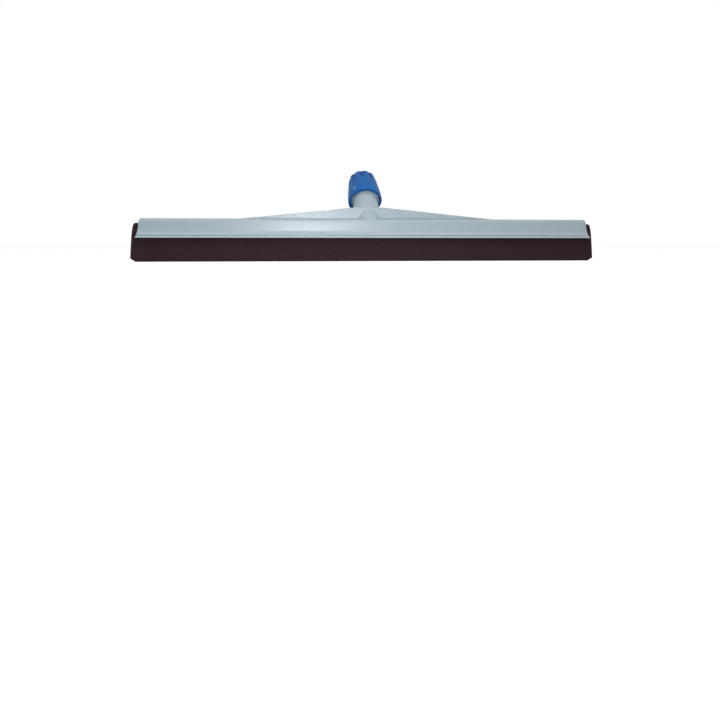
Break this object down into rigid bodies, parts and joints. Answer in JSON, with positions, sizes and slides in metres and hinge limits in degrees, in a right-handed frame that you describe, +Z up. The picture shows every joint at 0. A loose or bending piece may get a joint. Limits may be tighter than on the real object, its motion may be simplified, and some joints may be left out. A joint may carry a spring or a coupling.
{
  "type": "floor squeegee head",
  "caption": "Floor squeegee head: long plastic channel frame with foam rubber blades and a leaning pole socket clamped by a fluted screw collar.",
  "frame": {"origin": "middle of the blades' working edge on the floor, where the two blades meet", "axes": "+Z up from the floor, X along the blades, the front faces -Y and the pole leans back towards +Y"},
  "size_m": [0.5524, 0.0876, 0.112],
  "materials": {
    "frame_plastic": "light blue-grey polypropylene, finely grained moulding",
    "ring_plastic": "natural white acetal, smooth",
    "collar_plastic": "blue polypropylene, semi-gloss moulding",
    "foam_rubber": "dark brown-black cellular foam rubber, matt skin",
    "spreader_plastic": "grey polypropylene extrusion"
  },
  "bodies": {
    "frame": {"frame": "frame_plastic", "socket": "frame_plastic"},
    "finger_1": {"collet_finger_1": "frame_plastic"},
    "finger_2": {"collet_finger_2": "frame_plastic"},
    "finger_3": {"collet_finger_3": "frame_plastic"},
    "finger_4": {"collet_finger_4": "frame_plastic"},
    "wedge_ring": {"wedge_ring": "ring_plastic"},
    "collar": {"collar": "collar_plastic"},
    "refill": {"front_blade": "foam_rubber", "rear_blade": "foam_rubber", "blade_spreader": "spreader_plastic"}
  },
  "joints": [
    {"name": "collar_advance", "type": "slide", "parent": "frame", "child": "wedge_ring", "axis": [0, -0.7071, -0.7071], "range_m": [0, 0.006]},
    {"name": "collar_turn", "type": "hinge", "parent": "wedge_ring", "child": "collar", "pos_m": [0, 0.04243, 0.08303], "axis": [0, -0.7071, -0.7071], "range_deg": [0, 540]},
    {"name": "finger_1_flex", "type": "hinge", "parent": "frame", "child": "finger_1", "pos_m": [0.00669, 0.04857, 0.07971], "axis": [0.7071, -0.5, 0.5], "range_deg": [0, 4]},
    {"name": "finger_2_flex", "type": "hinge", "parent": "frame", "child": "finger_2", "pos_m": [-0.00669, 0.04857, 0.07971], "axis": [0.7071, 0.5, -0.5], "range_deg": [0, 4]},
    {"name": "finger_3_flex", "type": "hinge", "parent": "frame", "child": "finger_3", "pos_m": [-0.00669, 0.03911, 0.08917], "axis": [-0.7071, 0.5, -0.5], "range_deg": [0, 4]},
    {"name": "finger_4_flex", "type": "hinge", "parent": "frame", "child": "finger_4", "pos_m": [0.00669, 0.03911, 0.08917], "axis": [-0.7071, -0.5, 0.5], "range_deg": [0, 4]},
    {"name": "refill_slide", "type": "slide", "parent": "frame", "child": "refill", "axis": [1, 0, 0], "range_m": [-0.56, 0.56]}
  ],
  "couplings": [
    {"joint": "collar_advance", "follows": "collar_turn", "m_per_rad": 0.00063662},
    {"joint": "finger_1_flex", "follows": "collar_turn", "ratio": 0.0074},
    {"joint": "finger_2_flex", "follows": "collar_turn", "ratio": 0.0074},
    {"joint": "finger_3_flex", "follows": "collar_turn", "ratio": 0.0074},
    {"joint": "finger_4_flex", "follows": "collar_turn", "ratio": 0.0074}
  ]
}
